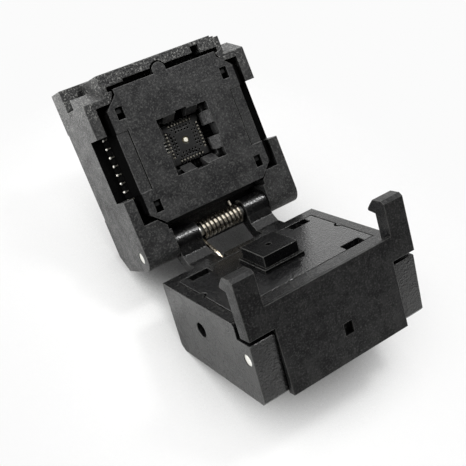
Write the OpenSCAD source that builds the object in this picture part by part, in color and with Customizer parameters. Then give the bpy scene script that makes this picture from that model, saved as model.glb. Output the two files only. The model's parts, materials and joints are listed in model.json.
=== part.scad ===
// Clamshell test socket for a square flat no-lead package: base with fanned contacts,
// sprung floating nest, sprung lid with a pusher, and a pivoting latch with two hooks.
// Millimetres. Z is up, Z = 0 is the board seating plane, the hinge is on the +Y side.
// The lid is drawn open. Lid pieces are modelled about the hinge axis in the closed
// attitude (Y towards the hinge, Z towards the lid's outer face) and then swung open.

/* [Package and contacts] */
// Pitch of the contact tips in the nest
lead_pitch = 0.5; // [0.45:0.01:0.5]
// Pitch of the terminals at the board
fan_pitch = 1.27; // [1.2:0.01:1.28]
// Sideways shift of each terminal row
fan_shift = 0.27; // [0:0.01:0.27]
// Width of a contact strip
strip_w = 0.2; // [0.16:0.01:0.22]
// Thickness of a contact strip
strip_t = 0.15; // [0.1:0.01:0.18]
// Diameter of a terminal post
post_d = 0.44; // [0.36:0.01:0.46]
// Length of the terminals below the board plane
tail_len = 2.9; // [2:0.1:3]

/* [Base] */
// Overall width of base and lid
width = 25.9; // [25.9:0.05:26.4]
// Height of the base walls over the board plane
wall_h = 11.3; // [11.2:0.05:11.35]
// Distance from the nest centre to the front face of the wall
front_y = 12.42; // [12.3:0.01:12.44]
// Height of the shelf under each catch
shelf_h = 4.05; // [3:0.05:4.3]
// Underside of the catch that each hook grips
catch_z = 7.15; // [7.1:0.01:7.2]
// Front edge of the catch, from the nest centre
catch_y = 10.85; // [10.7:0.01:10.86]
// Height of the sill of each side window
sill_h = 8.45; // [8.3:0.01:8.45]
// Half length of each side window
window_y = 4.52; // [4.4:0.01:4.6]
// Diameter of a locating post
locator_d = 1.6; // [1.2:0.05:1.8]
// Length of a locating post below the board plane
locator_len = 3.3; // [3.1:0.05:3.6]
// Distance between the front and rear locating posts
locator_span = 22.7; // [22:0.05:22.7]

/* [Floating nest] */
// Height of the nest's top face over the board plane
nest_top = 11.55; // [11.5:0.01:11.56]
// Thickness of the nest
nest_t = 2.2; // [2.1:0.01:2.2]
// Side of the pocket's mouth
pocket_w = 8.2; // [8:0.05:8.4]
// Side of the opening at the foot of the pocket
pocket_foot = 6.3; // [6.3:0.05:6.4]

/* [Hinge] */
// Distance from the nest centre to the hinge axis
hinge_y = 12.74; // [12.7:0.01:12.76]
// Height of the hinge axis
hinge_z = 9.23; // [9.2:0.01:9.25]
// Diameter of the hinge pin and of the latch pin
pin_d = 1.6; // [1.4:0.05:1.6]
// Diameter of a lid knuckle
knuckle_d = 3.5; // [3.3:0.05:3.6]
// Angle that the lid is open, from closed
open_angle = 104.7; // [90:0.1:105]
// Turns of the lid spring
turns = 10; // [8:1:10]
// Wire diameter of the lid spring
wire_d = 0.54; // [0.46:0.02:0.56]

/* [Lid] */
// Inner face of the lid, from the hinge axis
lid_in = 2.45; // [2.44:0.01:2.5]
// Outer face of the lid, from the hinge axis
lid_out = 13; // [12.6:0.1:13.4]
// Back face of the lid, in front of the hinge axis
lid_back = 4.85; // [4.7:0.01:5]
// Front of the corner blocks, in front of the hinge axis
lid_front = 25.7; // [25.6:0.05:25.8]
// Thickness of the pressure plate
plate_t = 2.1; // [1.8:0.05:2.1]
// Depth of the cavity that the pressure plate moves in
cavity_d = 2.95; // [2.9:0.01:3]
// Side of the pusher's face
pusher_w = 5.5; // [5:0.05:5.6]
// Height of the pusher over the pressure plate
pusher_h = 2.1; // [1.9:0.01:2.1]
// Diameter of the bore in each side of the lid
side_bore_d = 2.2; // [1.8:0.05:2.2]
// Depth of the bore in each side of the lid
side_bore_len = 4; // [3:0.1:5]

/* [Latch] */
// Latch pivot, in front of the hinge axis
latch_y = 24.35; // [24.3:0.01:24.36]
// Latch pivot, outwards of the hinge axis
latch_z = 6.87; // [6.85:0.01:6.9]
// Inward lean of the latch at rest
latch_lean = 3.5; // [3.3:0.1:3.6]
// Width of each latch arm
arm_w = 3.1; // [2.8:0.05:3.1]
// Half width of the latch between the corner blocks
latch_hw = 9.3; // [9.1:0.05:9.3]

/* [Fits] */
// Radial clearance of a turning fit
run_fit = 0.04; // [0.03:0.01:0.06]
// Radial clearance of a pressed pin
press_fit = 0.01; // [0.01:0.005:0.02]
// Gap between mating moulded pieces
gap = 0.1; // [0.08:0.01:0.12]

/* [Hidden] */

leads = 8;
e = 0.01;
hw = width / 2;
cav_x = 11.45;             // inner face of the side walls
cav_y = 10.6;              // inner face of the front wall
car_x = 10.5;              // half size of the contact carrier
car_y = 10.2;
wing_x = 11.9;             // half width of the carrier's wings under the windows
wing_y = 5.2;
car_top = sill_h - 0.2;    // contact strips lie on this face
isle = 2.95;               // half side of the raised contact island
isle_z = nest_top - 2.35;
term_x = 11.2;             // terminal rows of the left and right sides
term_y = 8.6;              // terminal rows of the front and back sides
back_y = hinge_y + wall_h - hinge_z;
ear_r = wall_h - hinge_z;
ear_in = 7.95;             // inner face of each ear
ear_front = 8.5;
recess_x = hw - arm_w - gap;
hook_x = 8.5;              // nest retaining hooks
hook_y = 6.76;
nest_front = -10.08;
spring_x = 6.2;            // nest springs
wing_hole = post_d / 2 + 0.04;
arm_in = 3.95;             // lid hinge arms
arm_out = ear_in - gap;
rim_y = 22.95;             // front wall of the lid behind the latch
block_top = 4.5;           // inner end of the lid's corner blocks
plate_x = 11.3;
plate_back = 6.8;
plate_front = 20.2;
coil_r = 1.2;              // mean radius of the lid spring
coil_x = 3.35;             // first coil of the lid spring
coil_pitch = 0.68;
ground_r = 0.36;
pusher_tip = lid_in - pusher_h;
latch_face = 1.87;         // front face of the latch, from its pivot
head_t = 0.4;              // head of the pusher's screw
lever_z = latch_z + 3.6;   // latch springs, from the hinge axis
shoulder = -3;             // underside of the lid's corner blocks, from the latch pivot

// Half outline, mirrored to the other side
function mirror_x(p) = concat(p, [for (i = [len(p) - 1:-1:0]) [-p[i][0], p[i][1]]]);

// Closed tube of round wire along a list of points, with n sides
function unit(v) = v / norm(v);
function along(p, i) = unit(p[min(i + 1, len(p) - 1)] - p[max(i - 1, 0)]);
function ring(p, i, r, n, up) = let (t = along(p, i), u = unit(cross(t, up)), v = cross(u, t))
    [for (k = [0:n - 1]) p[i] + r * (cos(360 * k / n) * u + sin(360 * k / n) * v)];
module wire(p, r, n, up) {
    m = len(p);
    polyhedron(
        points = [for (i = [0:m - 1]) each ring(p, i, r, n, up)],
        faces = concat(
            [[for (k = [0:n - 1]) k]], [[for (k = [n - 1:-1:0]) (m - 1) * n + k]],
            [for (i = [0:m - 2]) for (k = [0:n - 1])
                [i * n + k, (i + 1) * n + k, (i + 1) * n + (k + 1) % n, i * n + (k + 1) % n]]));
}

// Compression spring standing on Z = 0, with closed end turns
module coil(r, wire_r, h, coils, steps, sides) {
    n = coils * steps;
    rise = h - 2 * wire_r;
    wire([for (i = [0:n]) let (f = i / n, s = min(1, max(0, (f * coils - 0.8) / (coils - 1.6))))
        [r * cos(360 * i / steps), r * sin(360 * i / steps), wire_r + rise * s]],
        wire_r, sides, [0, 0, 1]);
}

// Carries a shape from the lid's closed attitude to the open one
module opened() { translate([0, hinge_y, hinge_z]) rotate([-open_angle, 0, 0]) children(); }

// Carries a shape from the latch's own frame to the lid's frame
module latched() { translate([0, -latch_y, latch_z]) rotate([latch_lean, 0, 0]) children(); }

// Prism along X from a profile of [y, z] points
module prism_x(x0, x1, pts) {
    translate([x0, 0, 0]) rotate([90, 0, 90]) linear_extrude(x1 - x0) polygon(pts);
}

module both_sides() { children(); mirror([1, 0, 0]) children(); }

// ---- Base ----

module cavity_outline() {
    polygon(mirror_x([[8.45, -cav_y], [8.45, -9.5], [9.15, -8.4], [cav_x, -8.4],
        [cav_x, ear_front], [9.35, ear_front], [8.3, 9.65], [8.3, 10.35]]));
    for (s = [-1, 1]) translate([s * 8.6, -cav_y + 0.35]) square([0.7, 0.7], center = true);
}

// Plan of the contact carrier, grown by g for its well
module carrier_outline(g) polygon(mirror_x([[9 + g, -car_y - g], [9 + g, -8.9 - g],
    [car_x + g, -8.9 - g], [car_x + g, -wing_y - g], [wing_x + g, -wing_y - g], [wing_x + g, wing_y + g],
    [car_x + g, wing_y + g], [car_x + g, car_y + g]]));

module base_housing() color("#26272a") difference() {
    union() {
        difference() {
            prism_x(-hw, hw, [[-front_y - 0.3, 0], [back_y - 2.2, 0], [back_y, 2], [back_y, hinge_z],
                [hinge_y, wall_h], [-front_y, wall_h], [-front_y, shelf_h + 0.4],
                [-front_y - 0.3, shelf_h]]);
            // underside between the seating feet
            translate([-hw - 1, -6.7, -1]) cube([width + 2, 13.4, 1.3]);
            // corner recesses for the latch arms
            both_sides() translate([recess_x, -front_y - 1, shelf_h])
                cube([hw, front_y + 1 - catch_y, wall_h]);
            both_sides() translate([recess_x, -catch_y - 1, shelf_h])
                cube([hw, catch_y + 1 - 9.5, catch_z - shelf_h]);
        }
        both_sides() translate([ear_in, hinge_y, hinge_z]) rotate([0, 90, 0])
            cylinder(r = ear_r, h = hw - ear_in, $fn = 64);
    }
    // ramps on the catches
    both_sides() prism_x(recess_x, hw + 1, [[-catch_y - 1, wall_h + 1], [-catch_y - 1, catch_z + 0.3],
        [-catch_y, catch_z + 0.3], [-9.3, wall_h], [-9.3, wall_h + 1]]);
    // well for the floating nest
    translate([0, 0, sill_h - 0.15]) linear_extrude(wall_h) cavity_outline();
    translate([-6.3, -10.95, sill_h - 0.15]) cube([12.6, 2, 10]);
    translate([-recess_x - 1, -front_y - 1, sill_h]) cube([recess_x + 1 - 8.45, 1.45, 5]);
    translate([-6.25, -11.85, wall_h - 2.2]) cube([1.3, 1.5, 5]);
    translate([0.8, -10.45, sill_h - 0.15]) cylinder(r = 1.25, h = 10, $fn = 48);
    // well for the contact carrier
    translate([0, 0, -1]) linear_extrude(car_top + 1.05) carrier_outline(0.05);
    // side windows
    both_sides() translate([10.6, -window_y, sill_h]) cube([5, 2 * window_y, 5]);
    both_sides() translate([10.6, -window_y, car_top - e]) cube([cav_x - 10.6, 2 * window_y, 5]);
    // gap between the ears for the lid's knuckles
    translate([-ear_in, 10.3, 7.2]) cube([2 * ear_in, 10, 10]);
    // hinge pin bores
    translate([-hw - 1, hinge_y, hinge_z]) rotate([0, 90, 0])
        cylinder(r = pin_d / 2 + press_fit, h = width + 2, $fn = 48);
}

module locator() { translate([0, 0, -locator_len]) {
    translate([0, 0, 0.3]) cylinder(d = locator_d, h = locator_len - 0.3, $fn = 32);
    cylinder(d1 = locator_d - 0.6, d2 = locator_d, h = 0.3, $fn = 32);
} }

module base_housing_full() {
    base_housing();
    color("#26272a") for (s = [-1, 1]) {
        translate([s * 11.2, -locator_span / 2, 0]) locator();
        translate([s * 11.2, locator_span / 2, 0]) locator();
    }
}

// Retaining hook that passes up through the nest
module nest_hook() {
    translate([-0.4, -0.75, car_top - e]) cube([0.8, 0.6, nest_top - 1.1 - car_top]);
    prism_x(-0.4, 0.4, [[-0.75, nest_top - 1.2], [0.35, nest_top - 1.12], [0.35, nest_top - 0.9],
        [-0.05, nest_top - 0.45], [-0.75, nest_top - 0.45]]);
}

module side(k) rotate([0, 0, 90 * k]) children();

module contact_carrier() color("#1d1e20") difference() {
    union() {
        linear_extrude(car_top) carrier_outline(0);
        translate([-isle, -isle, car_top - e]) cube([2 * isle, 2 * isle, isle_z - car_top + e]);
        for (s = [-1, 1], t = [-1, 1]) translate([s * hook_x, t * hook_y, 0]) nest_hook();
    }
    for (k = [0:3]) side(k) {
        // hollow round each row of tips
        translate([4.1, 0, isle_z - 0.12]) cylinder(r = 2.4, h = 1, $fn = 64);
        // comb slots for the contact tips
        for (i = [0:leads - 1]) translate([2.3, (i - 3.5) * lead_pitch - strip_w / 2 - 0.04, car_top])
            cube([1, strip_w + 0.08, 2]);
        // unused positions of the lattice
        for (r = [0:1]) for (i = [0:6 - 2 * r])
            translate([1.86 - 0.46 * r, (i - 3 + r) * lead_pitch - 0.12, isle_z - 0.45])
                cube([0.26, 0.24, 1]);
        for (i = [0:leads - 1])
            translate([k % 2 == 0 ? term_x : term_y, (i - 3.5) * fan_pitch + fan_shift, -1])
                cylinder(r = wing_hole, h = 20, $fn = 24);
    }
    cylinder(r = 0.5 + 0.02, h = 30, center = true, $fn = 32);
    for (s = [-1, 1], t = [-1, 1]) translate([s * spring_x, t * spring_x, car_top - 3])
        cylinder(r = 1.05, h = 5, $fn = 32);
    translate([-car_x - 2, -6.7, -1]) cube([2 * car_x + 4, 13.4, 1.3]);
}

// One contact of the left row: curved tip, fan-out strip and terminal post
module contact(i, term) {
    ty = (i - 3.5) * lead_pitch;
    oy = (i - 3.5) * fan_pitch + fan_shift;
    h = strip_w / 2;
    translate([0, ty + h, 0]) rotate([90, 0, 0]) linear_extrude(strip_w)
        polygon([[3.7, car_top], [3.7, car_top + strip_t], [3.1, car_top + strip_t],
            [2.8, isle_z - 0.1], [2.64, isle_z + 0.06], [2.48, isle_z + 0.06], [2.4, isle_z - 0.15],
            [2.6, isle_z - 0.15], [2.94, car_top]]);
    translate([0, 0, car_top]) linear_extrude(strip_t)
        polygon([[3.6, ty - h], [4.6, ty - h], [term - 1.6, oy - h], [term, oy - h],
            [term, oy + h], [term - 1.6, oy + h], [4.6, ty + h], [3.6, ty + h]]);
    translate([term, oy, -tail_len]) cylinder(d = post_d, h = tail_len + car_top + strip_t, $fn = 24);
    translate([term, oy, car_top + strip_t]) cylinder(d1 = post_d, d2 = post_d * 0.5, h = 0.12, $fn = 24);
}

module contact_row(k, term) color("#c9c6bd") side(k) for (i = [0:leads - 1]) contact(i, term);

module contacts_left() contact_row(0, term_x);
module contacts_back() contact_row(1, term_y);
module contacts_right() contact_row(2, term_x);
module contacts_front() contact_row(3, term_y);

module ground_barrel() color("#d8b760") difference() {
    union() {
        translate([0, 0, 0.3]) cylinder(r = 0.5, h = isle_z - 0.3, $fn = 32);
        translate([0, 0, -tail_len]) cylinder(d = post_d, h = tail_len + 2, $fn = 24);
    }
    translate([0, 0, 2]) cylinder(r = ground_r + run_fit, h = 20, $fn = 32);
}

module ground_plunger() color("#e6e2d6") {
    translate([0, 0, 5.4]) cylinder(r = ground_r, h = isle_z - 5.3, $fn = 32);
    translate([0, 0, isle_z + 0.1]) cylinder(r1 = ground_r, r2 = ground_r - 0.1, h = 0.12, $fn = 32);
}

module ground_spring() color("#b9b9b6") translate([0, 0, 2]) coil(0.26, 0.06, 3.4, 6, 8, 5);

module nest_springs() color("#b9b9b6") for (s = [-1, 1], t = [-1, 1])
    translate([s * spring_x, t * spring_x, car_top - 3])
        coil(0.8, 0.12, 3 + nest_top - nest_t - car_top, 5, 8, 5);

// ---- Floating nest ----

module nest_outline() polygon(mirror_x([[8.2, nest_front], [8.2, -9.28], [10.55, -7.1], [10.55, -4.35],
    [10.9, -4.35], [10.9, 4.35], [10.55, 4.35], [10.55, 7.05], [8.25, 9.3]]));

module floating_nest() color("#2b2c2f") difference() {
    union() {
        translate([0, 0, nest_top - nest_t]) linear_extrude(nest_t) nest_outline();
        translate([0.8, -10.45, nest_top - nest_t]) cylinder(r = 1.0, h = nest_t, $fn = 48);
    }
    // tapered pocket: four sloping faces down to the foot opening
    for (k = [0:3]) side(k) rotate([90, 0, 0]) translate([0, 0, -pocket_foot / 2])
        linear_extrude(pocket_foot) polygon([[0, nest_top + 1], [pocket_w / 2, nest_top + 1],
            [pocket_w / 2, nest_top - 0.25], [pocket_foot / 2, nest_top - 1.6],
            [pocket_foot / 2, 0], [0, 0]]);
    for (k = [0:3]) side(k) {
        translate([pocket_foot / 2 - 0.3, pocket_foot / 2 - 0.3, nest_top - 1.2])
            cube([pocket_w / 2 - pocket_foot / 2 + 0.3, pocket_w / 2 - pocket_foot / 2 + 0.3, 5]);
        translate([pocket_foot / 2 - 0.05, pocket_foot / 2 - 0.05, 0])
            cylinder(r = 0.38, h = 20, $fn = 32);
        translate([0, -0.93, 0]) cube([4.35, 1.86, 20]);
    }
    // openings for the retaining hooks
    for (s = [-1, 1], t = [-1, 1]) translate([s * hook_x, t * hook_y, 0]) {
        translate([-0.56, -0.85, nest_top - 1.25]) cube([1.12, 1.7, 3]);
        translate([-0.56, -0.85, 0]) cube([1.12, 0.8, 20]);
    }
    // sunk marking panels beside the windows, left bare, each with a groove along its inner edge
    both_sides() rotate([90, 0, 0]) translate([0, 0, -4.3]) linear_extrude(8.6)
        polygon([[8.35, nest_top + 1], [8.35, nest_top - 0.3], [8.49, nest_top - 0.3],
            [8.49, nest_top - 0.08], [10.15, nest_top - 0.12], [10.85, nest_top - 1.9],
            [12, nest_top - 1.9], [12, nest_top + 1]]);
}

// ---- Hinge ----

module hinge_pin() color("#b5b5b2") translate([-hw + 0.1, hinge_y, hinge_z]) rotate([0, 90, 0])
    cylinder(d = pin_d, h = width - 0.2, $fn = 48);

// Torsion spring on the hinge pin: one leg bears on the lid, the other on the base's back wall
module hinge_spring() color("#c8c8c4") translate([0, hinge_y, hinge_z]) {
    a0 = 71 - open_angle;
    sweep = 360 * turns + 75 + a0;
    n = turns * 16 + 2;
    lid_leg = [for (p = [[-5.5, 3.35], [-3.7, 2.55]])
        [coil_x, p[0] * cos(open_angle) + p[1] * sin(open_angle),
            -p[0] * sin(open_angle) + p[1] * cos(open_angle)]];
    pts = [for (i = [0:n]) let (a = a0 - sweep * i / n)
        [coil_x - coil_pitch * (a0 - a) / 360, coil_r * cos(a), coil_r * sin(a)]];
    base_leg = pts[n] + 2.3 * [0, -cos(15), -sin(15)];
    wire(concat(lid_leg, pts, [base_leg]), wire_d / 2, 8, [1, 0, 0]);
}

// ---- Lid ----

module lid_block() {
    prism_x(-hw, hw, [[-lid_back, lid_in], [-lid_back, lid_out - 0.8], [-lid_back - 0.8, lid_out],
        [-rim_y, lid_out], [-rim_y, lid_in + 0.4], [-rim_y + 0.4, lid_in]]);
    both_sides() prism_x(latch_hw + gap, hw, [[-rim_y + e, block_top], [-lid_front + 0.1, block_top],
        [-lid_front, block_top + 0.1], [-lid_front, lid_out - 0.5], [-lid_front + 0.5, lid_out],
        [-rim_y + e, lid_out]]);
    // hinge arms
    both_sides() {
        prism_x(arm_in, arm_out, [[-1.45, -0.9], [-1.55, 0.2], [-2.1, 1.6], [-3.3, lid_in],
            [-lid_back - e, lid_in], [-lid_back - e, 6.5], [0.95, 1.45], [0.5, 0]]);
        translate([arm_in, 0, 0]) rotate([0, 90, 0])
            cylinder(d = knuckle_d, h = arm_out - arm_in, $fn = 64);
    }
}

module lid_housing() color("#26272a") opened() difference() {
    lid_block();
    // cavity of the pressure plate, its spring seats and the notch of each keeper
    difference() {
        translate([-plate_x - 0.18, -plate_front - 0.18, lid_in - 1])
            cube([2 * plate_x + 0.36, plate_front - plate_back + 0.36, cavity_d + 1]);
        for (s = [-1, 1]) translate([s * (plate_x + 0.2), -13.05, lid_in])
            cylinder(r = 0.42, h = 0.5, $fn = 32);
    }
    for (s = [-1, 1], t = [-1, 1]) translate([s * 7.5, -13.5 + t * 4, lid_in + cavity_d - 1])
        cylinder(r = 1.45, h = 5, $fn = 32);
    translate([0, -hinge_y, lid_in + cavity_d - e]) cylinder(r = 1.1, h = 0.6, $fn = 32);
    // side bores
    both_sides() translate([hw - side_bore_len, -13.37, 6.75]) rotate([0, 90, 0])
        cylinder(d = side_bore_d, h = 10, $fn = 40);
    // hinge pin and latch pin bores
    translate([-hw - 1, 0, 0]) rotate([0, 90, 0])
        cylinder(r = pin_d / 2 + run_fit, h = width + 2, $fn = 48);
    translate([-hw - 1, -latch_y, latch_z]) rotate([0, 90, 0])
        cylinder(r = pin_d / 2 + press_fit, h = width + 2, $fn = 48);
    // seats of the latch springs and groove of the lid spring's leg
    for (s = [-1, 1]) translate([s * 6, -rim_y - 1, lever_z]) rotate([-90, 0, 0])
        cylinder(r = 1.25, h = 3, $fn = 32);
    translate([coil_x - 0.4, -6.2, lid_in - 1]) cube([0.8, 5, 2.4]);
}

module pressure_plate() color("#2b2c2f") opened() difference() {
    translate([-plate_x, -plate_front, lid_in]) cube([2 * plate_x, plate_front - plate_back, plate_t]);
    // relief slots by the corners
    for (s = [-1, 1]) {
        translate([s * 8.45 - 1.6, -plate_front - 1, lid_in - 1]) cube([3.2, 2.5, 5]);
        translate([s * 8.45 - 1.6, -plate_back - 1.5, lid_in - 1]) cube([3.2, 2.5, 5]);
        translate([s * (plate_x + 0.2), -13.05, lid_in - 1]) cylinder(r = 0.75, h = 5, $fn = 32);
    }
    // hole of the pusher's screw
    translate([0, -hinge_y, lid_in - 1]) cylinder(r = 0.42, h = 6, $fn = 32);
    for (s = [-1, 1], t = [-1, 1]) translate([s * 7.5, -13.5 + t * 4, lid_in + plate_t - 0.5])
        cylinder(r = 1.3, h = 5, $fn = 32);
}

module pusher() color("#222326") opened() translate([0, -hinge_y, 0]) difference() {
    union() {
        translate([-pusher_w / 2, -pusher_w / 2, pusher_tip]) cube([pusher_w, pusher_w, pusher_h]);
        translate([-pusher_w / 2 - 0.45, -pusher_w / 2 - 0.45, lid_in - 0.45])
            cube([pusher_w + 0.9, pusher_w + 0.9, 0.45]);
    }
    translate([0, 0, pusher_tip - 1]) cylinder(r = 0.42, h = 6, $fn = 32);
}

// Screw that clamps the pusher from behind; its end shows in the pusher's hole
module pusher_screw() color("#6f7072") opened() translate([0, -hinge_y, 0]) {
    translate([0, 0, pusher_tip + 0.4]) cylinder(r = 0.4, h = pusher_h - 0.4 + plate_t + e, $fn = 32);
    translate([0, 0, lid_in + plate_t]) cylinder(r = 0.9, h = head_t, $fn = 32);
}

module pressure_springs() color("#b9b9b6") opened() for (s = [-1, 1], t = [-1, 1])
    translate([s * 7.5, -13.5 + t * 4, lid_in + plate_t - 0.5])
        coil(1.05, 0.15, cavity_d + 4.5 - plate_t, 5, 8, 5);

// ---- Latch ----

module latch() color("#292a2d") opened() latched() difference() {
    union() {
        // middle plate with the lip that laps over the base's front wall
        prism_x(-latch_hw, latch_hw, [[-latch_face, 6.3], [-0.75, 6.3], [-0.75, 1.4], [0.15, 1.05],
            [0.85, 0.6], [0.85, -0.6], [0.15, -1.05], [0.15, -4.55], [-latch_face + 0.6, -4.65],
            [-latch_face + 0.6, -6.2], [-latch_face, -6.2]]);
        both_sides() prism_x(latch_hw - e, hw, [[-latch_face, shoulder], [0.15, shoulder], [0.15, -4.55],
            [-latch_face + 0.6, -4.65], [-latch_face + 0.6, -6.2], [-latch_face, -6.2]]);
        // arms with their hooks
        both_sides() prism_x(hw - arm_w, hw, [[-latch_face, shoulder], [0.15, shoulder], [0.15, -9.1],
            [1.45, -9.35], [1.45, -9.6], [0.95, -10.2], [0.2, -10.95], [-1.4, -10.95],
            [-latch_face, -10.55]]);
    }
    translate([-20, 0, 0]) rotate([0, 90, 0]) cylinder(r = pin_d / 2 + run_fit, h = 40, $fn = 48);
    // square tool recess in the front face
    translate([-1.2, -latch_face - 1, 1.2]) cube([1.36, 1.7, 1.7]);
}

module latch_pin() color("#b5b5b2") opened() translate([-hw + 0.1, -latch_y, latch_z])
    rotate([0, 90, 0]) cylinder(d = pin_d, h = width - 0.2, $fn = 48);

module latch_springs() color("#b9b9b6") opened() for (s = [-1, 1])
    translate([s * 6, -rim_y + 2, lever_z]) rotate([90, 0, 0]) coil(0.95, 0.13, 4.3, 5, 8, 5);

base_housing_full();  // base_housing
contact_carrier();
contacts_left();
contacts_back();
contacts_right();
contacts_front();
ground_barrel();
ground_spring();
ground_plunger();
nest_springs();
floating_nest();
hinge_pin();
hinge_spring();
lid_housing();
pressure_springs();
pressure_plate();
pusher();
pusher_screw();
latch();
latch_pin();
latch_springs();
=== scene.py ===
"""Looks of a clamshell test socket: moulded black plastics, plated contacts, steel pins and wire springs."""

import json
import math

import bpy
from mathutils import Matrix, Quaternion, Vector

MM = 0.001

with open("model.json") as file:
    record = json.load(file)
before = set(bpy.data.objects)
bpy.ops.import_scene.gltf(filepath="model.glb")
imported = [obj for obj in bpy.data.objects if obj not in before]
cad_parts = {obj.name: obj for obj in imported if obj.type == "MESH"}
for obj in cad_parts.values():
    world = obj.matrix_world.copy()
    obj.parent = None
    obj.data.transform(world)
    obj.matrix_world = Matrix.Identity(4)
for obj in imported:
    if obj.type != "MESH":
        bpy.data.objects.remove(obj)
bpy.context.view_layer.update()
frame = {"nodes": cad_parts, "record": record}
nodes = frame["nodes"]

# Sizes and places are in millimetres of the part's own frame, and the camera's roll is in degrees.

# Camera: its place and aim, its roll about the view axis, its lens and its sensor
CAM_PLACE = (47.29, -4.40, 114.87)
CAM_AIM = (1.02, 14.18, 14.58)
CAM_ROLL = 87.93
CAM_LENS = 62.17
CAM_SENSOR = 36.0
CAM_NEAR = 1.0

# Floor: the part lies on its rear locating posts and on the outer edge of its open lid. Surfaces up to
# FLOOR_REACH away shade the paper, and that shade is also painted into its colour. The pairs are shares of
# open
# sky: where the painted shade leaves the paper darkest and palest, and where the camera starts to see white
# and sees only white.
FLOOR_AT = (0.0, 12.40, -3.25)
FLOOR_UP = (0.0, -0.713, 0.701)
FLOOR_SIZE = 900.0
FLOOR_REACH = 30.0
PAPER = "DCDCDB"
PAPER_SHADED = "2C2C2C"
PAPER_TONES = (0.02, 0.75)
PAPER_WHITE = (0.30, 0.98)
BACKDROP = "FBFBFB"

# Surround: pale, but dim towards DIM_WAY, with a glow low on the +X side, towards SIDE_WAY. The pairs are
# cosines of the angle off that direction: where the change starts and where it is full.
BRIGHT = 1.10
DIM = 0.05
DIM_WAY = (-0.41, 0.38, 0.83)
DIM_LOBE = (0.20, 0.84)
SIDE_GLOW = 5.0
SIDE_WAY = (0.84, -0.52, -0.12)
SIDE_LOBE = (0.50, 1.0)

# Key: one soft square lamp, high in front
KEY_AT = (-100, -136, 185)
KEY_AIM = (0, 14, 10)
KEY_SIZE = 42.0
KEY_WATTS = 0.36

# Moulded surface: rounding of the edges, and size and height of the sparked grain and its pits. Glass fibres
# are about 0.01 mm thick and sparked pits under 0.1 mm, so both are drawn as coarse as they need to show.
EDGE = 0.15
GRAIN = 0.26
PIT = 0.30
GRAIN_HEIGHT = 0.03
GRAIN_SHARE = 0.40  # of the mottle, with flow marks for the rest
# Colour of the pale fibre ends, also used for the painted highlight on the rounded edges
FIBRE_END_AND_HIGHLIGHT = "8A8A86"

# Painted shade in gaps: how far a surface looks for others that shade it, on plastic and on the contacts,
# and the near-black colours painted there on plastic and on metal
GAP = 1.6
CONTACT_GAP = 0.8
GAP_PAINTED_SHADE = "060606"
METAL_GAP_PAINTED_SHADE = "0A0A0A"

# Base: half the length of the side windows, the height of their sills and how exactly a face has to be at
# it to get the painted shade of the sills, and how much colour and gleam a sill keeps under that painted
# shade
WINDOW_Y = 4.6
SILL = 8.45
SILL_BAND = 0.05
SILL_LIGHT = 0.12

# Base: most of the fibre ends show in front of this Y. They thin out over FIBRE_BAND on either side of it,
# and FIBRE_REST of them is left behind it.
FRONT_WALL = -7.5
FIBRE_BAND = 1.5
FIBRE_REST = 0.25

# Nest: how far out the painted shade on its side panels' flanks starts, how fast it darkens them, and what
# they keep
FLANK = 10.12
FLANK_BAND = 0.1
FLANK_LIGHT = 0.05

# Contacts: the heights between which the bent ends rise, and the distances from the middle between which
# the strips turn from shaded to plain
ENDS_FROM = 8.38
ENDS_TO = 9.2
STRIP_SHADED = 9.6
STRIP_PLAIN = 10.4

# Metals: size of the uneven patches in the gloss
POLISH = 0.25


def linear(code):
    """sRGB hex code to linear RGBA."""
    channels = []
    for place in (0, 2, 4):
        level = int(code[place:place + 2], 16) / 255
        channels.append(level / 12.92 if level <= 0.04045 else ((level + 0.055) / 1.055) ** 2.4)
    return (*channels, 1.0)


def add(tree, kind, inputs=None, stops=(), **settings):
    """Adds a node with its settings, links its inputs or sets their values, and sets a ramp's STOPS."""
    node = tree.nodes.new(kind)
    for key, value in settings.items():
        setattr(node, key, value)
    for key, value in (inputs or {}).items():
        if isinstance(value, bpy.types.NodeSocket):
            tree.links.new(value, node.inputs[key])
        else:
            node.inputs[key].default_value = value
    if stops:
        marks = node.color_ramp.elements
        while len(marks) < len(stops):
            marks.new(0.5)
        for mark, (place, code) in zip(marks, stops):
            mark.position = place
            mark.color = linear(code)
    return node


def material(name):
    """A new material with an empty node tree, and that tree."""
    finish = bpy.data.materials.new(name)
    finish.use_nodes = True
    finish.node_tree.nodes.clear()
    return finish, finish.node_tree


def openness(tree, reach, shut, opened):
    """Share left out of painted shade: 0 in gaps, where REACH leaves at most SHUT of the view open, and 1
    where it leaves OPENED or more.
    """
    view = add(tree, "ShaderNodeAmbientOcclusion", {"Distance": reach * MM}, samples=6)
    return add(tree, "ShaderNodeMapRange", {"Value": view.outputs["AO"], "From Min": shut,
               "From Max": opened}).outputs[0]


def off_flanks(tree, place, flank):
    """Nearly 0 further out than FLANK on either side, where shade is painted, and 1 elsewhere."""
    out = add(tree, "ShaderNodeMath", {0: place["X"]}, operation="ABSOLUTE")
    return add(tree, "ShaderNodeMapRange", {"Value": out.outputs[0], "From Min": flank * MM,
               "From Max": (flank + FLANK_BAND) * MM, "To Min": 1.0, "To Max": FLANK_LIGHT}).outputs[0]


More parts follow.
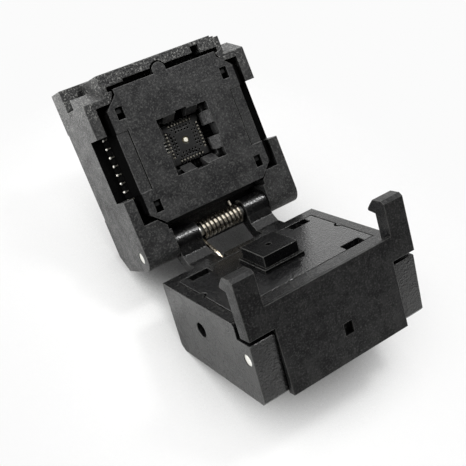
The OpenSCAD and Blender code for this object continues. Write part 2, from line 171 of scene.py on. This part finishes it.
def off_sills(tree, place, face, sill):
    """Nearly 0 on the faces that look up at the height SILL in the side windows, where shade is painted, and
    1 elsewhere.
    """
    level = add(tree, "ShaderNodeMath", {0: place["Z"], 1: sill * MM, 2: SILL_BAND * MM},
                operation="COMPARE")
    along = add(tree, "ShaderNodeMath", {0: place["Y"]}, operation="ABSOLUTE")
    inside = add(tree, "ShaderNodeMath", {0: along.outputs[0], 1: WINDOW_Y * MM}, operation="LESS_THAN")
    both = add(tree, "ShaderNodeMath", {0: level.outputs[0], 1: inside.outputs[0]}, operation="MULTIPLY")
    upward = add(tree, "ShaderNodeSeparateXYZ", {0: face}).outputs["Z"]
    here = add(tree, "ShaderNodeMath", {0: both.outputs[0], 1: upward}, operation="MULTIPLY")
    return add(tree, "ShaderNodeMapRange", {"Value": here.outputs[0], "To Min": 1.0,
               "To Max": SILL_LIGHT}).outputs[0]


def moulded(name, dark, light, rough, grain, fibre, cloud=3.2, edge_highlight=0.25, fade=None,
            flank=None, sill=None, index=1.52, gleam=0.5):
    """Black moulded plastic with cloudy flow marks, a sparked grain and pale fibre ends.

    DARK and LIGHT are the colours of its flow marks, CLOUD their size and ROUGH its mean roughness. GRAIN
    is the strength of the grain, and FIBRE that of the fibre ends, which with FADE are mostly in front of
    that Y. The rounded edges get a painted highlight, as strong as the argument after CLOUD. Gaps get
    painted shade, nearly black, and so do the flanks further out than FLANK and the window sills at the
    height SILL. GLEAM is the specular level in the open, 0.5 for INDEX as it is and less for an oily or
    dusty face.
    """
    finish, tree = material(name)
    at = add(tree, "ShaderNodeTexCoord").outputs["Object"]
    place = add(tree, "ShaderNodeSeparateXYZ", {0: at}).outputs
    face = add(tree, "ShaderNodeNewGeometry").outputs["True Normal"]

    # Flow marks, grain and pits
    flow = add(tree, "ShaderNodeTexNoise", {"Vector": at, "Scale": 1 / (cloud * MM), "Detail": 6.0,
               "Roughness": 0.72, "Distortion": 0.35}).outputs["Fac"]
    fine = add(tree, "ShaderNodeTexNoise", {"Vector": at, "Scale": 1 / (GRAIN * MM), "Detail": 3.0,
               "Roughness": 0.7}).outputs["Fac"]
    pits = add(tree, "ShaderNodeTexVoronoi", {"Vector": at, "Scale": 1 / (PIT * MM)}).outputs["Distance"]
    mottle = add(tree, "ShaderNodeMix", {0: GRAIN_SHARE, 2: flow, 3: fine}).outputs[0]
    body = add(tree, "ShaderNodeValToRGB", {"Fac": mottle}, [(0.41, dark), (0.60, light)])

    # Fibre ends, fewer behind FADE
    strength = fibre
    if fade is not None:
        strength = add(tree, "ShaderNodeMapRange", {
            "Value": place["Y"], "From Min": (fade - FIBRE_BAND) * MM, "From Max": (fade + FIBRE_BAND) * MM,
            "To Min": fibre, "To Max": fibre * FIBRE_REST}).outputs[0]
    ends = add(tree, "ShaderNodeMapRange", {"Value": fine, "From Min": 0.54, "From Max": 0.68,
               "To Min": 0.0, "To Max": strength})

    # Painted highlight on the rounded edges, where the rounded normal turns away from the face
    rounded = add(tree, "ShaderNodeBevel", {"Radius": EDGE * MM}, samples=6).outputs["Normal"]
    turn = add(tree, "ShaderNodeVectorMath", {0: rounded, 1: face}, operation="DOT_PRODUCT")
    edge = add(tree, "ShaderNodeMapRange", {"Value": turn.outputs["Value"], "From Min": 0.995,
               "From Max": 0.80, "To Min": 0.0, "To Max": edge_highlight})
    pale = add(tree, "ShaderNodeMath", {0: ends.outputs[0], 1: edge.outputs[0]}, operation="MAXIMUM")
    color = add(tree, "ShaderNodeMix", {0: pale.outputs[0], 6: body.outputs["Color"],
                7: linear(FIBRE_END_AND_HIGHLIGHT)}, data_type="RGBA")

    # Painted shade, nearly black, in gaps, on the flanks and on the sills; it also lowers the gleam there
    unshaded = openness(tree, GAP, 0.30, 0.75)
    masks = []
    if flank is not None:
        masks.append(off_flanks(tree, place, flank))
    if sill is not None:
        masks.append(off_sills(tree, place, face, sill))
    for mask in masks:
        unshaded = add(tree, "ShaderNodeMath", {0: unshaded, 1: mask}, operation="MULTIPLY").outputs[0]
    shown = add(tree, "ShaderNodeVectorMath", {0: color.outputs[2], 1: unshaded}, operation="MULTIPLY")
    shine = add(tree, "ShaderNodeMath", {0: unshaded, 1: gleam}, operation="MULTIPLY")

    gloss = add(tree, "ShaderNodeMapRange", {"Value": mottle, "From Min": 0.38, "From Max": 0.62,
                "To Min": rough + 0.12, "To Max": rough - 0.10})
    height = add(tree, "ShaderNodeMath", {0: fine, 1: pits}, operation="ADD")
    bump = add(tree, "ShaderNodeBump", {"Height": height.outputs[0], "Normal": rounded,
               "Strength": grain, "Distance": GRAIN_HEIGHT * MM})
    plastic = add(tree, "ShaderNodeBsdfPrincipled", {
        "Base Color": shown.outputs[0], "Roughness": gloss.outputs[0], "Normal": bump.outputs["Normal"],
        "Specular IOR Level": shine.outputs[0], "IOR": index})
    # Near-black matt sheet mixed in as painted shade in the gaps
    black = add(tree, "ShaderNodeBsdfDiffuse", {"Color": linear(GAP_PAINTED_SHADE)})
    near = add(tree, "ShaderNodeMapRange", {"Value": unshaded, "From Min": 0.0, "From Max": 0.5})
    both = add(tree, "ShaderNodeMixShader", {0: near.outputs[0], 1: black.outputs[0], 2: plastic.outputs[0]})
    add(tree, "ShaderNodeOutputMaterial", {"Surface": both.outputs[0]})
    return finish


def plated(name, shaded, dull, bright, tip):
    """Contact metal: SHADED on the flat strips near the middle and DULL further out. The bent ends, which
    rise from ENDS_FROM, are BRIGHT and turn to TIP towards ENDS_TO."""
    finish, tree = material(name)
    at = add(tree, "ShaderNodeTexCoord").outputs["Object"]
    height = add(tree, "ShaderNodeSeparateXYZ", {0: at}).outputs["Z"]
    rise = add(tree, "ShaderNodeMapRange", {"Value": height, "From Min": ENDS_FROM * MM,
               "From Max": ENDS_TO * MM}).outputs[0]
    plan = add(tree, "ShaderNodeVectorMath", {0: at, 1: (1, 1, 0)}, operation="MULTIPLY")
    span = add(tree, "ShaderNodeVectorMath", {0: plan.outputs[0]}, operation="LENGTH")
    outer = add(tree, "ShaderNodeMapRange", {"Value": span.outputs["Value"], "From Min": STRIP_SHADED * MM,
                "From Max": STRIP_PLAIN * MM})
    strip = add(tree, "ShaderNodeValToRGB", {"Fac": outer.outputs[0]}, [(0.0, shaded), (1.0, dull)])
    ends = add(tree, "ShaderNodeValToRGB", {"Fac": rise}, [(0.05, bright), (0.60, bright), (0.70, tip)])
    is_end = add(tree, "ShaderNodeMapRange", {"Value": rise, "From Min": 0.06, "From Max": 0.10})
    color = add(tree, "ShaderNodeMix", {0: is_end.outputs[0], 6: strip.outputs["Color"],
                7: ends.outputs["Color"]}, data_type="RGBA")
    # Painted shade in the gaps between the contacts
    unshaded = openness(tree, CONTACT_GAP, 0.35, 0.80)
    shown = add(tree, "ShaderNodeVectorMath", {0: color.outputs[2], 1: unshaded}, operation="MULTIPLY")
    plate = add(tree, "ShaderNodeBsdfPrincipled", {"Base Color": shown.outputs[0], "Metallic": 1.0,
                "Roughness": 0.60})
    add(tree, "ShaderNodeOutputMaterial", {"Surface": plate.outputs[0]})
    return finish


def metal(name, code, rough, reach=0.0):
    """Drawn or plated metal with a fine uneven gloss, and with painted shade, nearly black, in gaps narrower
    than REACH.
    """
    finish, tree = material(name)
    at = add(tree, "ShaderNodeTexCoord").outputs["Object"]
    fine = add(tree, "ShaderNodeTexNoise", {"Vector": at, "Scale": 1 / (POLISH * MM), "Detail": 4.0})
    gloss = add(tree, "ShaderNodeMapRange", {"Value": fine.outputs["Fac"], "From Min": 0.3, "From Max": 0.7,
                "To Min": rough - 0.05, "To Max": rough + 0.08})
    color = linear(code)
    # Painted shade, nearly black, in the gaps
    if reach:
        unshaded = openness(tree, reach, 0.25, 0.75)
        shades = add(tree, "ShaderNodeValToRGB", {"Fac": unshaded}, [(0.0, METAL_GAP_PAINTED_SHADE), (1.0, code)])
        color = shades.outputs["Color"]
    steel = add(tree, "ShaderNodeBsdfPrincipled", {"Base Color": color, "Metallic": 1.0,
                "Roughness": gloss.outputs[0]})
    add(tree, "ShaderNodeOutputMaterial", {"Surface": steel.outputs[0]})
    return finish


# Base: black glass-filled PEI with a sparked, sparkling finish
base_plastic = moulded("moulded_PEI_black", "0A0A0B", "363636", 0.40, 1.00, 0.90,
                       fade=FRONT_WALL, sill=SILL, gleam=0.45)
# Lid: the same plastic from a smoother mould
lid_plastic = moulded("moulded_PEI_black_smooth", "010102", "0B0B0B", 0.25, 0.55, 0.10, gleam=0.40)
# Contact carrier: matt black PES, deep in the base
carrier_plastic = moulded("moulded_PES_black_matt", "050505", "101010", 0.50, 0.30, 0.05)
# Nest and latch: black PES with cloudy flow marks, darker on the latch
nest_plastic = moulded("moulded_PES_black", "08080A", "373737", 0.42, 0.80, 0.18, flank=FLANK, gleam=0.36)
latch_plastic = moulded("moulded_PES_black_flowed", "010102", "222222", 0.36, 0.60, 0.09,
                        cloud=2.4, gleam=0.15)
# Pressure plate: black PPS, the glossiest plastic, which mirrors the pale room at a low angle
plate_plastic = moulded("moulded_PPS_black_gloss", "010102", "0B0B0C", 0.17, 0.70, 0.10, index=1.74)
# Pusher: fine black PPS, which shows by the painted highlight on its edges
pusher_plastic = moulded("moulded_PPS_black_fine", "010102", "050505", 0.26, 0.30, 0.02,
                         edge_highlight=0.40, gleam=0.16)

# Contacts: copper alloy with a dull nickel-silver plate, bright where the ends are bent
contact = plated("plated_contact_alloy", "0E0E0D", "8E8B82", "FBF9F2", "A5A196")
# Ground contact: bright plated plunger in a dull gold barrel
bright_plate = metal("bright_plated_plunger", "FFFCF0", 0.66)
dull_gold = metal("dull_gold_plate", "6E6640", 0.35)
# Springs: drawn stainless wire, with painted shade between its turns
wire = metal("spring_steel_wire", "E6DDCC", 0.20, reach=0.5)
# Hinge pin and latch pin: ground steel, with slightly dull ends
pins = metal("ground_steel_pin", "E2E1DC", 0.50)
# Pusher screw: dark steel, which barely shows in its hole
dark_screw = metal("dark_screw_steel", "242425", 0.45)

FINISHES = {"base_housing": base_plastic, "contact_carrier": carrier_plastic, "floating_nest": nest_plastic,
            "lid_housing": lid_plastic, "pressure_plate": plate_plastic, "pusher": pusher_plastic,
            "latch": latch_plastic, "ground_barrel": dull_gold, "ground_plunger": bright_plate,
            "hinge_pin": pins, "latch_pin": pins, "pusher_screw": dark_screw}
SLOTS = {"contact_alloy": contact, "spring_steel": wire}
for part in frame["record"]["subparts"]:
    mesh = nodes[part["node"]].data
    mesh.materials.clear()
    mesh.materials.append(FINISHES.get(part["node"]) or SLOTS[part["material_slot"]])

# Floor: a flat sheet under the part, square to FLOOR_UP
up = Vector(FLOOR_UP).normalized()
across = Vector((1, 0, 0))
ahead = up.cross(across)
middle = Vector(FLOOR_AT) * MM
half = FLOOR_SIZE * MM / 2
corners = [tuple(middle + a * half * across + b * half * ahead)
           for a, b in ((-1, -1), (1, -1), (1, 1), (-1, 1))]
floor_mesh = bpy.data.meshes.new("floor")
floor_mesh.from_pydata(corners, [], [(0, 1, 2, 3)])
floor = bpy.data.objects.new("floor", floor_mesh)
bpy.context.collection.objects.link(floor)

# Pale matt paper with shade painted into its colour near the part, white to the camera where nothing shades
# it; from below it lets the view through
floor_paper, tree = material("pale_paper_floor")
open_sky = add(tree, "ShaderNodeAmbientOcclusion", {"Distance": FLOOR_REACH * MM}, samples=8).outputs["AO"]
# Painted shade: the paper's colour darkens where the part is near
tone = add(tree, "ShaderNodeValToRGB", {"Fac": open_sky}, [(PAPER_TONES[0], PAPER_SHADED),
           (PAPER_TONES[1], PAPER)])
paper = add(tree, "ShaderNodeBsdfDiffuse", {"Color": tone.outputs["Color"], "Roughness": 0.5})
white = add(tree, "ShaderNodeEmission", {"Color": linear(BACKDROP), "Strength": 1.0})
away = add(tree, "ShaderNodeMapRange", {"Value": open_sky, "From Min": PAPER_WHITE[0],
           "From Max": PAPER_WHITE[1]})
ray = add(tree, "ShaderNodeLightPath").outputs["Is Camera Ray"]
share = add(tree, "ShaderNodeMath", {0: away.outputs[0], 1: ray}, operation="MULTIPLY")
above = add(tree, "ShaderNodeMixShader", {0: share.outputs[0], 1: paper.outputs[0], 2: white.outputs[0]})
below = add(tree, "ShaderNodeBsdfTransparent")
back = add(tree, "ShaderNodeNewGeometry").outputs["Backfacing"]
sheet = add(tree, "ShaderNodeMixShader", {0: back, 1: above.outputs[0], 2: below.outputs[0]})
add(tree, "ShaderNodeOutputMaterial", {"Surface": sheet.outputs[0]})
floor_mesh.materials.append(floor_paper)

# Surround: white to the camera, a soft pale studio to the surfaces
world = bpy.data.worlds.new("studio")
bpy.context.scene.world = world
world.use_nodes = True
tree = world.node_tree
tree.nodes.clear()
way = add(tree, "ShaderNodeTexCoord").outputs["Generated"]
lobes = []
for toward, (start, full), low, high in ((DIM_WAY, DIM_LOBE, BRIGHT, DIM),
                                         (SIDE_WAY, SIDE_LOBE, 0.0, SIDE_GLOW)):
    facing = add(tree, "ShaderNodeVectorMath", {0: way, 1: Vector(toward).normalized()},
                 operation="DOT_PRODUCT")
    lobes.append(add(tree, "ShaderNodeMapRange", {"Value": facing.outputs["Value"], "From Min": start,
                     "From Max": full, "To Min": low, "To Max": high},
                     interpolation_type="SMOOTHSTEP").outputs[0])
total = add(tree, "ShaderNodeMath", {0: lobes[0], 1: lobes[1]}, operation="ADD")
studio = add(tree, "ShaderNodeBackground", {"Color": (1, 1, 1, 1), "Strength": total.outputs[0]})
backdrop = add(tree, "ShaderNodeBackground", {"Color": linear(BACKDROP), "Strength": 1.0})
ray = add(tree, "ShaderNodeLightPath").outputs["Is Camera Ray"]
seen = add(tree, "ShaderNodeMixShader", {0: ray, 1: studio.outputs[0], 2: backdrop.outputs[0]})
add(tree, "ShaderNodeOutputWorld", {"Surface": seen.outputs[0]})

# Key light
lamp = bpy.data.lights.new("key", "AREA")
lamp.shape = "SQUARE"
lamp.size = KEY_SIZE * MM
lamp.energy = KEY_WATTS
key = bpy.data.objects.new("key", lamp)
bpy.context.collection.objects.link(key)
key.location = Vector(KEY_AT) * MM
key.rotation_euler = (Vector(KEY_AIM) * MM - key.location).to_track_quat("-Z", "Y").to_euler()

# Camera
camera = bpy.data.objects.new("camera", bpy.data.cameras.new("camera"))
bpy.context.collection.objects.link(camera)
camera.data.lens = CAM_LENS
camera.data.sensor_width = CAM_SENSOR
camera.data.clip_start = CAM_NEAR * MM
camera.data.dof.use_dof = False
camera.location = Vector(CAM_PLACE) * MM
look = (Vector(CAM_AIM) - Vector(CAM_PLACE)).to_track_quat("-Z", "Y")
camera.rotation_mode = "QUATERNION"
camera.rotation_quaternion = look @ Quaternion((0, 0, 1), math.radians(CAM_ROLL))
scene = bpy.context.scene
scene.camera = camera
scene.view_settings.view_transform = "Standard"
